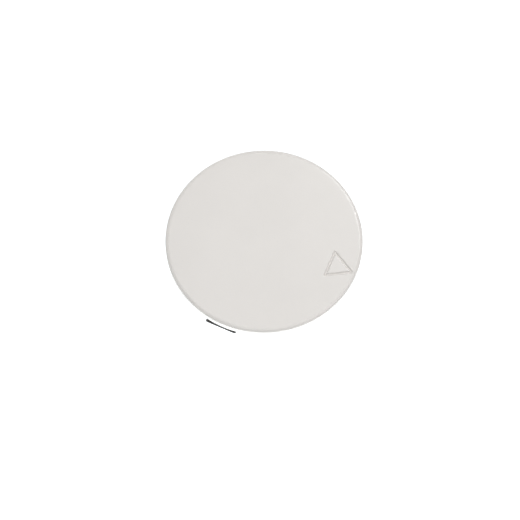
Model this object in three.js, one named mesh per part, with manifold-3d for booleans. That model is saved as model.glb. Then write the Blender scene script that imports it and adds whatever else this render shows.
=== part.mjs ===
// Concealed pendent fire sprinkler head with a dropping deflector and a flat round cover plate.
// Millimetres. +Z points out of the cover's face, and z = 0 is the threaded inlet end.
// In use the head hangs the other way up, so +Z is then down into the room.

import * as THREE from 'three';
import { mergeVertices } from 'three/addons/utils/BufferGeometryUtils.js';
import Module from 'manifold-3d';

const wasm = await Module();
wasm.setup();

// ---------- Driving dimensions ----------

const GAP = 0.3;                 // clearance between neighbouring pieces
const FINE = 72;                 // segments round the cover plate
const ROUND = 48;                // segments round the other large pieces
const SMALL = 20;                // segments round pins, screw and bulb

const FACE_Z = 58.5;             // front of the cover plate
const COVER_R = 40.5;            // 81 mm cover, the usual concealed size
const COVER_SHEET = 0.9;
const COVER_DEPTH = 4.1;
const COVER_EDGE = { across: 1.8, down: 1.2, wall: 0.8 };
const MARK = { r: 32.1, at: -22.4, side: 10.9, turn: 6.9, groove: 1.1, depth: 0.45 };

const EAR_ANGLE = 6;             // first stand-off ear, then every 120 degrees
const EAR = { reach: 39.2, width: 13.4, offset: -2, z: 48, thick: 0.8, corner: 0.6 };
const EAR_LEG = { z0: 45, width: 10 };
const FOOT_ANGLE = EAR_ANGLE + 60;
const FOOT = { reach: 33, width: 9, z: 56.5, thick: 0.75 };
const SOLDER_R = 2.5;
const SOLDER_AT = 30;            // distance of the solder pads from the centre line

const SLEEVE = { inner: 26.1, outer: 26.9, z0: 26, z1: 55.5 };
const SLEEVE_SLOT = { count: 6, width: 3.6, z0: 31, z1: 45 };
const DIMPLE = { r: 1.5, z: 29, proud: 0.4 };

const CUP = { r: 28.5, wall: 0.9, z0: 20, z1: 44, corner: 6, hole: 12.6 };
const VENT = { count: 4, inner: 17.6, outer: 21, half: 24 };
const LOCK_RING = { inner: 12.6, outer: 16.5, thick: 1.2 };

const BORE_R = 6.35;
const ORIFICE_R = 5.6;
const THREAD = { r: 10.35, z1: 12.7, pitch: 25.4 / 14, depth: 1.1, taper: 1 / 32 };
const HEX = { flats: 27, z0: 14.5, z1: 20 };
const COLLAR = { r: 12.3, z1: 24 };
const SEAT = { r: 7.4, z1: 24.5 };
const ARM = { x0: 7.6, x1: 11.2, half: 2.5, z1: 46.2 };
const TENON = { x0: 8.2, x1: 10.6, half: 1.8 };

const BAR = { length: 37, half: 4, boss: 6.2, z0: ARM.z1, z1: 51.2 };
const PIN_X = 14.6;
const PIN = { r: 1.3, head: 2, headZ: 25, headThick: 1.2, neck: 0.9, rivet: 1.9, rivetThick: 0.8 };
const DEFLECTOR = { r: 17, z0: 53.4, thick: 1.2, slots: 12, slotWidth: 2.2, deep: 8.6, shallow: 10.6 };
const SCREW = { r: 2.5, z0: 44.6, z1: 51.8, socket: 1.5, socketDepth: 2.2 };

const BULB = { r: 1.5, inner: 0.95, z0: 27.2, z1: 45.3 };
const LIQUID = { r: 0.87, z0: 28.6, z1: 42.6 };
const BUTTON = { plug: 5.2, flange: 6.9, hub: 2.1, z0: 22, flangeZ: 25.4, hubZ: 26.4, z1: 27.9 };
const WASHER = { inner: 5.4, outer: 7.3, thick: 0.35 };
const WIRE_R = 0.35;
const WIRE_Z = 27.3;

// ---------- Making, joining and cutting closed geometry ----------

const radians = THREE.MathUtils.degToRad;

function solid(geometry) {
  const bare = geometry.clone();
  bare.deleteAttribute('normal');
  bare.deleteAttribute('uv');
  const merged = mergeVertices(bare);
  const corners = merged.index.array;
  const triangles = [];
  for (let i = 0; i < corners.length; i += 3) {
    const [a, b, c] = corners.slice(i, i + 3);
    if (a !== b && b !== c && c !== a) triangles.push(a, b, c);
  }
  return new wasm.Manifold(new wasm.Mesh({
    numProp: 3,
    vertProperties: new Float32Array(merged.attributes.position.array),
    triVerts: new Uint32Array(triangles),
  }));
}

function geometryOf(body) {
  const mesh = body.getMesh();
  const geometry = new THREE.BufferGeometry();
  geometry.setAttribute('position', new THREE.BufferAttribute(mesh.vertProperties, 3));
  geometry.setIndex(new THREE.BufferAttribute(mesh.triVerts, 1));
  geometry.computeVertexNormals();
  return geometry;
}

function join(...parts) {
  return geometryOf(parts.map(solid).reduce((whole, part) => whole.add(part)));
}

function cut(base, ...tools) {
  return geometryOf(tools.map(solid).reduce((whole, tool) => whole.subtract(tool), solid(base)));
}

function common(first, second) {
  return geometryOf(solid(first).intersect(solid(second)));
}

// A turned solid. The [radius, z] profile runs counter-clockwise, outer wall upwards.
function turned(profile, segments = ROUND) {
  const points = profile.map(([r, z]) => new THREE.Vector2(r, z));
  if (points[0].x > 0) points.push(points[0].clone());
  const geometry = new THREE.LatheGeometry(points, segments);
  geometry.rotateX(Math.PI / 2);
  return geometry;
}

function ring(inner, outer, z0, z1, segments = ROUND) {
  return turned([[inner, z0], [outer, z0], [outer, z1], [inner, z1]], segments);
}

function rod(r, z0, z1, segments = SMALL) {
  return turned([[0, z0], [r, z0], [r, z1], [0, z1]], segments);
}

function block(x0, x1, y0, y1, z0, z1) {
  const geometry = new THREE.BoxGeometry(x1 - x0, y1 - y0, z1 - z0);
  geometry.translate((x0 + x1) / 2, (y0 + y1) / 2, (z0 + z1) / 2);
  return geometry;
}

function extruded(outline, z0, z1, curveSegments = 5) {
  const options = { depth: z1 - z0, bevelEnabled: false, curveSegments };
  const geometry = new THREE.ExtrudeGeometry(outline, options);
  geometry.translate(0, 0, z0);
  return geometry;
}

function polygon(count, r, startDegrees) {
  const corners = Array.from({ length: count }, (_, i) => {
    const angle = radians(startDegrees + (360 * i) / count);
    return new THREE.Vector2(r * Math.cos(angle), r * Math.sin(angle));
  });
  return new THREE.Shape(corners);
}

function around(geometry, count, startDegrees = 0) {
  return Array.from({ length: count }, (_, i) =>
    geometry.clone().rotateZ(radians(startDegrees + (360 * i) / count)));
}

// Profile points along a quarter of an ellipse, from startDegrees to endDegrees.
function arc(centre, across, up, startDegrees, endDegrees, steps) {
  return Array.from({ length: steps + 1 }, (_, i) => {
    const angle = radians(startDegrees + ((endDegrees - startDegrees) * i) / steps);
    return [centre[0] + across * Math.cos(angle), centre[1] + up * Math.sin(angle)];
  });
}

const object = new THREE.Group();

function add(name, geometry, color, roughness, metalness, parent = object) {
  const material = new THREE.MeshStandardMaterial({ color, roughness, metalness });
  const mesh = new THREE.Mesh(geometry, material);
  mesh.name = name;
  parent.add(mesh);
  return mesh;
}

// ---------- Cover: pressed plate with an engraved triangle, held by solder ----------

function coverPlate() {
  const { across, down, wall } = COVER_EDGE;
  const inner = COVER_R - wall;
  const backZ = FACE_Z - COVER_SHEET;
  const plate = turned([
    [0, backZ],
    ...arc([inner - 1, backZ - 1], 1, 1, 90, 0, 3),
    [inner, FACE_Z - COVER_DEPTH],
    [COVER_R, FACE_Z - COVER_DEPTH],
    ...arc([COVER_R - across, FACE_Z - down], across, down, 0, 90, 4),
    [0, FACE_Z],
  ], FINE);

  // Distance from a triangle's centre to its corners, on the groove's centre line.
  const toCorner = MARK.side / Math.sqrt(3);
  const outline = polygon(3, toCorner + MARK.groove, 90 + MARK.turn);
  outline.holes.push(polygon(3, toCorner - MARK.groove, 90 + MARK.turn));
  const mark = extruded(outline, FACE_Z - MARK.depth, FACE_Z + 1);
  const at = radians(MARK.at);
  mark.translate(MARK.r * Math.cos(at), MARK.r * Math.sin(at), 0);
  return cut(plate, mark);
}

function addCover() {
  add('cover_plate', coverPlate(), 0xe4e0dc, 0.45, 0);
  const footTop = FOOT.z + FOOT.thick;
  for (let i = 0; i < 3; i += 1) {
    const pad = rod(SOLDER_R, footTop, FACE_Z - COVER_SHEET);
    const mesh = add(`solder_pad_${i + 1}`, pad, 0xb4b6b8, 0.35, 0.9);
    const angle = radians(FOOT_ANGLE + 120 * i);
    mesh.position.set(SOLDER_AT * Math.cos(angle), SOLDER_AT * Math.sin(angle), 0);
  }
}

// ---------- Retainer: sleeve that screws into the cup, with feet and stand-off ears ----------

function retainer() {
  const footTop = FOOT.z + FOOT.thick;
  const slice = block(0, FOOT.reach + 5, -FOOT.width / 2, FOOT.width / 2, SLEEVE.z1 - 1, FACE_Z);
  const angle = join(
    ring(SLEEVE.inner, SLEEVE.outer, SLEEVE.z1 - 0.5, footTop),
    ring(SLEEVE.inner, FOOT.reach, FOOT.z, footTop),
  );
  const foot = common(angle, slice);
  const slot = block(0, FOOT.reach, -SLEEVE_SLOT.width / 2, SLEEVE_SLOT.width / 2,
    SLEEVE_SLOT.z0, SLEEVE_SLOT.z1);
  const dimple = new THREE.SphereGeometry(DIMPLE.r, 10, 6);
  dimple.translate(SLEEVE.outer + DIMPLE.proud - DIMPLE.r, 0, DIMPLE.z);
  const outside = ring(SLEEVE.inner + 0.2, SLEEVE.outer + 2, SLEEVE.z0, SLEEVE.z1);
  const bump = common(dimple, outside);
  const sleeve = join(
    ring(SLEEVE.inner, SLEEVE.outer, SLEEVE.z0, SLEEVE.z1),
    ...around(foot, 3, FOOT_ANGLE),
    ...around(bump, 6, EAR_ANGLE),
  );
  return cut(sleeve, ...around(slot, SLEEVE_SLOT.count, EAR_ANGLE + 30));
}

function standoffEar() {
  const rootR = SLEEVE.outer + GAP;
  const { reach, corner, z, thick, offset } = EAR;
  const right = offset - EAR.width / 2;
  const left = offset + EAR.width / 2;
  const outline = new THREE.Shape();
  outline.moveTo(0, right);
  outline.lineTo(reach - corner, right);
  outline.quadraticCurveTo(reach, right, reach, right + corner);
  outline.lineTo(reach, left - corner);
  outline.quadraticCurveTo(reach, left, reach - corner, left);
  outline.lineTo(0, left);
  const tongue = cut(extruded(outline, z, z + thick), rod(rootR, z - 1, z + 2, ROUND));
  const leg = common(
    ring(rootR, rootR + thick, EAR_LEG.z0, z + thick),
    block(0, reach, -EAR_LEG.width / 2, EAR_LEG.width / 2, EAR_LEG.z0, z + thick),
  );
  return join(tongue, leg);
}

function addRetainer() {
  add('retainer', retainer(), 0xb08d4f, 0.4, 0.85);
  for (let i = 0; i < 3; i += 1) {
    const ear = add(`standoff_ear_${i + 1}`, standoffEar(), 0x4a4a4a, 0.55, 0.5);
    ear.rotation.z = radians(EAR_ANGLE + 120 * i);
  }
}

// ---------- Support cup: pressed steel cup that the retainer screws into ----------

function supportCup() {
  const { r, wall, z0, z1, corner, hole } = CUP;
  const outerArc = arc([r - corner, z0 + corner], corner, corner, -90, 0, 4);
  const innerArc = arc([r - corner, z0 + corner], corner - wall, corner - wall, 0, -90, 4);
  const cup = turned([
    [hole, z0],
    ...outerArc,
    [r, z1],
    [r - wall, z1],
    ...innerArc,
    [hole, z0 + wall],
  ]);

  const vent = new THREE.Shape();
  const half = radians(VENT.half);
  vent.absarc(0, 0, VENT.outer, -half, half, false);
  vent.absarc(0, 0, VENT.inner, half, -half, true);
  vent.closePath();
  return cut(cup, ...around(extruded(vent, z0 - 1, z0 + 2), VENT.count, 45));
}

function lockRing() {
  const z0 = CUP.z0 + CUP.wall;
  const notch = block(0, LOCK_RING.inner + 1.4, -1, 1, z0 - 1, z0 + 3);
  const washer = ring(LOCK_RING.inner, LOCK_RING.outer, z0, z0 + LOCK_RING.thick);
  return cut(washer, ...around(notch, 6, 30));
}

function addCup() {
  add('support_cup', supportCup(), 0xb9bcc0, 0.4, 0.9);
  add('cup_lock_ring', lockRing(), 0x8f9297, 0.4, 0.9);
}

// ---------- Sprinkler body: tapered thread, hexagon, collar, seat and two frame arms ----------

function threadProfile() {
  const { r, z1, pitch, depth, taper } = THREAD;
  const crestAt = z => r + z * taper;
  const points = [[r - depth, 0]];
  for (let z = 0.9; z + pitch / 2 < z1; z += pitch) {
    points.push([crestAt(z) - 0.15, z], [crestAt(z), z + 0.25]);
    points.push([crestAt(z) - depth, z + pitch / 2]);
  }
  points.push([crestAt(z1) - depth, HEX.z0]);
  return points;
}

function sprinklerBody() {
  const stem = turned([
    [0, 0],
    ...threadProfile(),
    [COLLAR.r, HEX.z0],
    [COLLAR.r, COLLAR.z1 - 0.6],
    [COLLAR.r - 0.6, COLLAR.z1],
    [SEAT.r, COLLAR.z1],
    [SEAT.r, SEAT.z1],
    [0, SEAT.z1],
  ], 32);
  const acrossCorners = HEX.flats / Math.sqrt(3);
  const chamfer = turned([
    [0, HEX.z0],
    [HEX.flats / 2, HEX.z0],
    [acrossCorners, HEX.z0 + 1.2],
    [acrossCorners, HEX.z1],
    [0, HEX.z1],
  ]);
  const hexagon = common(extruded(polygon(6, acrossCorners, 0), HEX.z0, HEX.z1), chamfer);
  const arm = join(
    block(ARM.x0, ARM.x1, -ARM.half, ARM.half, COLLAR.z1 - 1, ARM.z1),
    block(TENON.x0, TENON.x1, -TENON.half, TENON.half, ARM.z1 - 1, BAR.z1),
  );
  const bore = turned([
    [0, -1],
    [BORE_R + 0.8, -1],
    [BORE_R, 0.8],
    [BORE_R, 13],
    [ORIFICE_R, 17],
    [ORIFICE_R, SEAT.z1 + 1],
    [0, SEAT.z1 + 1],
  ], 32);
  return cut(join(stem, hexagon, ...around(arm, 2)), bore);
}

// ---------- Guide pin housing: bar across the frame arms ----------

function pinHousing() {
  const outline = new THREE.Shape();
  const straight = BAR.length / 2 - BAR.half;
  outline.absarc(straight, 0, BAR.half, -Math.PI / 2, Math.PI / 2, false);
  outline.absarc(-straight, 0, BAR.half, Math.PI / 2, (3 * Math.PI) / 2, false);
  outline.closePath();
  const bar = join(
    extruded(outline, BAR.z0, BAR.z1, 8),
    rod(BAR.boss, BAR.z0, BAR.z1, 32),
  );
  const mortise = block(TENON.x0 - GAP / 2, TENON.x1 + GAP / 2,
    -TENON.half - GAP / 2, TENON.half + GAP / 2, BAR.z0 - 1, BAR.z1 + 1);
  const pinBore = rod(PIN.r + GAP, BAR.z0 - 1, BAR.z1 + 1).translate(PIN_X, 0, 0);
  const screwHole = rod(SCREW.r + GAP, BAR.z0 - 1, BAR.z1 + 1);
  return cut(bar, screwHole, ...around(mortise, 2), ...around(pinBore, 2));
}

function loadScrew() {
  const blank = turned([
    [0, SCREW.z0],
    [SCREW.r - 0.3, SCREW.z0],
    [SCREW.r, SCREW.z0 + 0.3],
    [SCREW.r, SCREW.z1 - 0.3],
    [SCREW.r - 0.3, SCREW.z1],
    [0, SCREW.z1],
  ], SMALL);
  const socket = extruded(polygon(6, SCREW.socket, 0), SCREW.z1 - SCREW.socketDepth, SCREW.z1 + 1);
  const seat = turned([
    [0, SCREW.z0 - 1],
    [BULB.r + GAP + 0.2, SCREW.z0 - 1],
    [BULB.r + GAP, SCREW.z0],
    [0.5, SCREW.z0 + 1.2],
    [0, SCREW.z0 + 1.2],
  ], SMALL);
  return cut(blank, socket, seat);
}

// ---------- Release: glass bulb, its liquid, seat button, spring washer, kick spring ----------

function glassBulb() {
  const { r, inner, z0, z1 } = BULB;
  const wall = r - inner;
  const stem = 0.15;
  return turned([
    [stem, z0],
    [0.5, z0],
    ...arc([r - 0.9, z0 + 1.1], 0.9, 0.9, -60, 0, 2),
    ...arc([r - 0.9, z1 - 1.1], 0.9, 0.9, 0, 60, 2),
    [0, z1],
    [0, z1 - 2 * wall],
    ...arc([0, z1 - 2 * wall - inner], inner, inner, 60, 0, 2),
    ...arc([0, z0 + 2 * wall + inner], inner, inner, 0, -60, 2),
  ], SMALL);
}

function bulbLiquid() {
  const { r, z0, z1 } = LIQUID;
  return turned([
    [0, z0 + 0.35],
    ...arc([0, z0 + r + 0.35], r, r, -60, 0, 2),
    [r, z1],
    [0, z1 - 0.3],
  ], SMALL);
}

function seatButton() {
  return turned([
    [0, BUTTON.z0],
    [BUTTON.plug - 0.4, BUTTON.z0],
    [BUTTON.plug, BUTTON.z0 + 0.4],
    [BUTTON.plug, BUTTON.flangeZ],
    [BUTTON.flange, BUTTON.flangeZ],
    [BUTTON.flange, BUTTON.flangeZ + 0.7],
    [BUTTON.flange - 0.3, BUTTON.hubZ],
    [BUTTON.hub, BUTTON.hubZ],
    [BUTTON.hub, BUTTON.z1],
    [BULB.r + 0.25, BUTTON.z1],
    [0.7, BULB.z0 - GAP],
    [0, BULB.z0 - GAP],
  ], 32);
}

function sealingWasher() {
  const { inner, outer, thick } = WASHER;
  return turned([
    [inner, BUTTON.flangeZ - thick],
    [outer - 0.1, SEAT.z1],
    [outer, SEAT.z1 + thick],
    [inner + 0.1, BUTTON.flangeZ],
  ], 32);
}

// A wire bow that hooks round both arms and presses on the button's hub.
function ejectionSpring() {
  const hookX = ARM.x1 + GAP + WIRE_R;
  const frontY = ARM.half + GAP + WIRE_R + 0.1;
  const half = [
    [hookX, -1.5],
    [hookX, 1.6],
    [hookX - 0.25, frontY - 0.25],
    [hookX - 1.6, frontY],
    [ARM.x0 - 0.8, frontY],
  ];
  const middle = [[0, BUTTON.hub + GAP + WIRE_R]];
  const far = half.map(([x, y]) => [-x, y]).reverse();
  const route = [...half, ...middle, ...far].map(([x, y]) => new THREE.Vector3(x, y, WIRE_Z));
  const section = new THREE.Shape();
  section.absarc(0, 0, WIRE_R, 0, 2 * Math.PI, false);
  return new THREE.ExtrudeGeometry(section, {
    steps: 32,
    curveSegments: 3,
    bevelEnabled: false,
    extrudePath: new THREE.CatmullRomCurve3(route),
  });
}

// ---------- Drop-down deflector on two guide pins ----------

function guidePin() {
  const under = DEFLECTOR.z0;
  const over = DEFLECTOR.z0 + DEFLECTOR.thick;
  return turned([
    [0, PIN.headZ],
    [PIN.head, PIN.headZ],
    [PIN.head, PIN.headZ + PIN.headThick],
    [PIN.r, PIN.headZ + PIN.headThick],
    [PIN.r, BAR.z1],
    [PIN.head, BAR.z1],
    [PIN.head, under],
    [PIN.neck, under],
    [PIN.neck, over],
    [PIN.rivet, over],
    [PIN.rivet - 0.5, over + PIN.rivetThick],
    [0, over + PIN.rivetThick],
  ], SMALL);
}

function deflector() {
  const { r, z0, thick, slots, slotWidth, deep, shallow } = DEFLECTOR;
  const disc = rod(r, z0, z0 + thick, ROUND);
  const slotFrom = inner => block(inner, r + 2, -slotWidth / 2, slotWidth / 2, z0 - 1, z0 + thick + 1);
  const pinHole = rod(PIN.neck + GAP, z0 - 1, z0 + thick + 1, 12).translate(PIN_X, 0, 0);
  return cut(
    disc,
    ...around(slotFrom(deep), slots / 2, 15),
    ...around(slotFrom(shallow), slots / 2, 45),
    ...around(pinHole, 2),
  );
}

function addRelease() {
  add('load_screw', loadScrew(), 0xb99a5c, 0.35, 0.9);
  add('glass_bulb', glassBulb(), 0xf4e9e4, 0.05, 0);
  add('bulb_liquid', bulbLiquid(), 0xc8161a, 0.2, 0);
  add('seat_button', seatButton(), 0xb28a45, 0.4, 0.85);
  add('sealing_washer', sealingWasher(), 0x9fa2a0, 0.3, 0.9);
  add('ejection_spring', ejectionSpring(), 0x83868a, 0.3, 0.9);
}

function addDeflector() {
  add('deflector', deflector(), 0xa57a3e, 0.4, 0.85);
  add('guide_pin_1', guidePin(), 0xa8abaf, 0.3, 0.9).position.x = PIN_X;
  add('guide_pin_2', guidePin(), 0xa8abaf, 0.3, 0.9).position.x = -PIN_X;
}

add('sprinkler_body', sprinklerBody(), 0xb28a45, 0.45, 0.85);
add('guide_pin_housing', pinHousing(), 0xb28a45, 0.4, 0.85);
addCup();
addRelease();
addDeflector();
addRetainer();
addCover();

export default object;
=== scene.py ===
"""Looks of a concealed fire sprinkler head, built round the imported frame.

Shapes are worked out in millimetres and scaled to metres when a piece is made.
z runs from the inlet end (0) to the cover's face. Profiles are lists of (radius, z).
"""

import math

import bmesh
import bpy
from mathutils import Matrix, Vector


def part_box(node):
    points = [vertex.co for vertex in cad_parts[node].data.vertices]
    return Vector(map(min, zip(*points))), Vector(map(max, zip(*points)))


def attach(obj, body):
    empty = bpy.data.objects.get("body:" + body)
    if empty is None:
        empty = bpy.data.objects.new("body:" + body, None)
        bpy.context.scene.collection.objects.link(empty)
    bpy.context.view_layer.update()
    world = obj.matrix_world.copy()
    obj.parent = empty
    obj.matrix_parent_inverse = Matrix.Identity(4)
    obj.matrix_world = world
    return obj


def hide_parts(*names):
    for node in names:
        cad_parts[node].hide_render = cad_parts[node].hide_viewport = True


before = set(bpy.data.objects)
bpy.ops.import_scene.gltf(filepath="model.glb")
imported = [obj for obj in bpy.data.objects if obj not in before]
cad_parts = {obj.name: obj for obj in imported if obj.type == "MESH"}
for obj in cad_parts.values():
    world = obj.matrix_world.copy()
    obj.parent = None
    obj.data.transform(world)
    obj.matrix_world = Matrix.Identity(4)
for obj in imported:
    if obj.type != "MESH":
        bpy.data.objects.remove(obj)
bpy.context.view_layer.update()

MM = 0.001
TURN = 2 * math.pi


def span(node):
    """Lowest and highest corner of a CAD node, in millimetres."""
    low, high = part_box(node)
    return low / MM, high / MM


# --- Sizes that more than one piece uses ---

COVER_LOW, COVER_HIGH = span("cover_plate")
COVER_R = COVER_HIGH.x
FACE_Z = COVER_HIGH.z
SHEET = 0.9
BACK_Z = FACE_Z - SHEET

EAR_ANGLE = 6
FOOT_ANGLE = EAR_ANGLE + 60
FOOT_TOP = span("retainer")[1].z
SLEEVE_INNER = 26.1
SLEEVE_OUTER = 26.9

CUP_LOW, CUP_HIGH = span("support_cup")
CUP_R = CUP_HIGH.x
CUP_WALL = 0.8
CUP_FLOOR = CUP_LOW.z + 0.9
CUP_HOLE = 12.6

ORIFICE_R = 5.6
COLLAR_R = 12.3
COLLAR_TOP = 24.0
SEAT_TOP = 24.5
ARM_X = 9.4
ARM_HALF_X = 1.8
ARM_HALF_Y = 2.5

BAR_LOW, BAR_HIGH = span("guide_pin_housing")
PIN_LOW, PIN_HIGH = span("guide_pin_1")
PIN_X = (PIN_LOW.x + PIN_HIGH.x) / 2
PIN_R = 1.3
DISC_LOW, DISC_HIGH = span("deflector")
SCREW_LOW, SCREW_HIGH = span("load_screw")
BULB_LOW, BULB_HIGH = span("glass_bulb")
BUTTON_LOW, BUTTON_HIGH = span("seat_button")

CREASE = 32  # degrees between two faces above which their edge is sharp
SOFT_CREASE = 60
MERGE_DISTANCE = 1e-4


# --- Profiles and outlines ---

def arc(centre_x, centre_y, radius_x, radius_y, start, end, steps):
    """Points along part of an ellipse, from start to end degrees, both ends included."""
    points = []
    for i in range(steps + 1):
        angle = math.radians(start + (end - start) * i / steps)
        points.append((centre_x + radius_x * math.cos(angle), centre_y + radius_y * math.sin(angle)))
    return points


def softened(profile, radius, steps=3):
    """The profile with each corner rounded. A point's third value is its own radius."""
    on_axis = profile[0][0] == 0
    most_of_side = 0.45
    last = len(profile) - 1
    points = []
    for i, point in enumerate(profile):
        here = Vector(point[:2])
        reach = point[2] if len(point) > 2 else radius
        if reach == 0 or (on_axis and i in (0, last)):
            points.append(here)
            continue
        before = Vector(profile[i - 1][:2]) - here
        after = Vector(profile[(i + 1) % (last + 1)][:2]) - here
        reach = min(reach, most_of_side * before.length, most_of_side * after.length)
        start = here + before.normalized() * reach
        end = here + after.normalized() * reach
        for k in range(steps + 1):
            t = k / steps
            points.append(start * (1 - t) ** 2 + here * 2 * t * (1 - t) + end * t ** 2)
    return points


def moved_in(loop, distance):
    """A closed 2-D loop moved to the left of its direction, which is into its material."""
    points = [Vector(p) for p in loop]
    sharpest = 0.3
    result = []
    for i, point in enumerate(points):
        to_here = (point - points[i - 1]).normalized()
        onward = (points[(i + 1) % len(points)] - point).normalized()
        first = Vector((-to_here.y, to_here.x))
        second = Vector((-onward.y, onward.x))
        result.append(point + (first + second) * (distance / max(sharpest, 1 + first.dot(second))))
    return result


def turned_by(loop, degrees):
    """A 2-D loop turned about the origin."""
    matrix = Matrix.Rotation(math.radians(degrees), 2)
    return [matrix @ Vector(p) for p in loop]


def normal_of(path, i):
    """Unit vector to the left of a 2-D path at one of its points."""
    along = Vector(path[min(i + 1, len(path) - 1)]) - Vector(path[max(i - 1, 0)])
    along.normalize()
    return Vector((-along.y, along.x))


def circle(x, y, radius, steps):
    """A closed circle, counter-clockwise."""
    return arc(x, y, radius, radius, 0, 360, steps)[:-1]


def hexagon_radius(angle, flats):
    """Distance from the centre to a hexagon with corners at 0, 60, 120 degrees."""
    sixth = math.radians(60)
    return flats / 2 / math.cos(angle % sixth - sixth / 2)


def smooth(t):
    """0 to 1 along an S curve, held outside that range."""
    t = min(max(t, 0), 1)
    return t * t * (3 - 2 * t)


# --- Mesh building ---

def bridge(bm, first, second):
    """Faces between two closed rings. A ring of one vertex is a pole."""
    count = max(len(first), len(second))
    for i in range(count):
        j = (i + 1) % count
        corners = [first[i % len(first)], first[j % len(first)]]
        corners += [second[j % len(second)], second[i % len(second)]]
        unique = list(dict.fromkeys(corners))
        if len(unique) > 2:
            bm.faces.new(unique)


def skin(bm, rings):
    """Faces from each ring to the next."""
    for first, second in zip(rings, rings[1:]):
        bridge(bm, first, second)


def even_angles(count):
    """Equal steps round a circle, in radians."""
    return [TURN * i / count for i in range(count)]


def revolve(bm, profile, angles, shape=None, closed=False):
    """Adds a surface of revolution. shape(radius, angle, z) may change each point's radius and z."""
    rings = []
    for r, z in profile:
        ring = []
        for angle in angles if r > 1e-6 else [0]:
            radius, height = shape(r, angle, z) if shape else (r, z)
            ring.append(bm.verts.new((radius * math.cos(angle), radius * math.sin(angle), height)))
        rings.append(ring)
    skin(bm, rings)
    if closed and len(rings[0]) > 1:
        bridge(bm, rings[-1], rings[0])


def helical_wall(bm, radius, z0, z1, pitch, segments, per_pitch):
    """Adds a wall whose rows climb one pitch a turn, so that a thread's crest follows the mesh."""
    step = pitch / per_pitch
    rows = []
    for row in range(math.ceil((z1 - z0) / step) + 2 * per_pitch + 3):
        ring = []
        for i in range(segments):
            angle = TURN * i / segments
            z = min(max(z0 - pitch + row * step + pitch * i / segments, z0), z1)
            r = radius(angle, z)
            ring.append(bm.verts.new((r * math.cos(angle), r * math.sin(angle), z)))
        rows.append(ring)
    for row in range(len(rows) - per_pitch - 1):
        for i in range(segments):
            shift = per_pitch if i == segments - 1 else 0
            j = (i + 1) % segments
            corners = (rows[row][i], rows[row + shift][j], rows[row + 1 + shift][j], rows[row + 1][i])
            bm.faces.new(corners)


def loft(bm, loops):
    """Adds a closed solid through loops of 3-D points, with a flat cap at each end."""
    rings = [[bm.verts.new(p) for p in loop] for loop in loops]
    skin(bm, rings)
    bm.faces.new(rings[0][::-1])
    bm.faces.new(rings[-1])


def plate(bm, outline, holes, z0, z1, edge):
    """Adds a flat plate with rounded edges. The outline runs counter-clockwise, the holes clockwise."""
    steps = 3
    levels = []
    for i in range(steps + 1):
        angle = math.pi / 2 * i / steps
        levels.append((edge * (1 - math.sin(angle)), z0 + edge * (1 - math.cos(angle))))
    levels += [(inset, z0 + z1 - z) for inset, z in reversed(levels)]
    rims = ([], [])
    for loop in [outline] + holes:
        rings = [[bm.verts.new((*p, z)) for p in moved_in(loop, inset)] for inset, z in levels]
        skin(bm, rings)
        for rim, ring in zip(rims, (rings[0], rings[-1])):
            rim += [bm.edges.get((a, b)) for a, b in zip(ring, ring[1:] + ring[:1])]
    for rim in rims:
        bmesh.ops.triangle_fill(bm, edges=rim, use_beauty=True)


def add_object(name, data):
    """A new object in the scene."""
    obj = bpy.data.objects.new(name, data)
    bpy.context.scene.collection.objects.link(obj)
    return obj


def solid(name, bm):
    """An object in metres from a mesh built in millimetres."""
    bmesh.ops.remove_doubles(bm, verts=bm.verts, dist=MERGE_DISTANCE)
    bmesh.ops.recalc_face_normals(bm, faces=bm.faces)
    bmesh.ops.scale(bm, vec=(MM, MM, MM), verts=bm.verts)
    mesh = bpy.data.meshes.new(name)
    bm.to_mesh(mesh)
    bm.free()
    return add_object(name, mesh)


def combine(obj, tool, operation="DIFFERENCE"):
    """Cuts one object with another, or joins them with UNION, and removes the second."""
    modifier = obj.modifiers.new("combine", "BOOLEAN")
    modifier.operation = operation
    modifier.solver = "EXACT"
    modifier.object = tool
    evaluated = obj.evaluated_get(bpy.context.evaluated_depsgraph_get())
    mesh = bpy.data.meshes.new_from_object(evaluated)
    obj.modifiers.clear()
    obj.data = mesh
    bpy.data.objects.remove(tool)


def finish(obj, look, body, node, crease=CREASE):
    """Shades a piece, gives it its material and puts it on its body in place of its CAD node."""
    obj.data.shade_smooth()
    obj.data.set_sharp_from_angle(angle=math.radians(crease))
    obj.data.materials.clear()
    obj.data.materials.append(look)
    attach(obj, body)
    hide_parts(node)
    return obj


def piece(node, bm, look, body, crease=CREASE):
    """The visible piece that stands for a CAD node, from a mesh built in millimetres."""
    return finish(solid(node + "_detail", bm), look, body, node, crease)


def turned_piece(node, profile, look, body, segments, x=0, y=0, shape=None, crease=CREASE):
    """A piece made on a lathe, with its axis at x, y."""
    bm = bmesh.new()
    revolve(bm, profile, even_angles(segments), shape, closed=True)
    bmesh.ops.translate(bm, vec=(x, y, 0), verts=bm.verts)
    return piece(node, bm, look, body, crease)


# --- Materials ---

def linear(*display):
    """A display colour, 0 to 255, as linear light."""
    values = [c / 255 for c in display]
    return (*(c / 12.92 if c <= 0.04045 else ((c + 0.055) / 1.055) ** 2.4 for c in values), 1)


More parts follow.
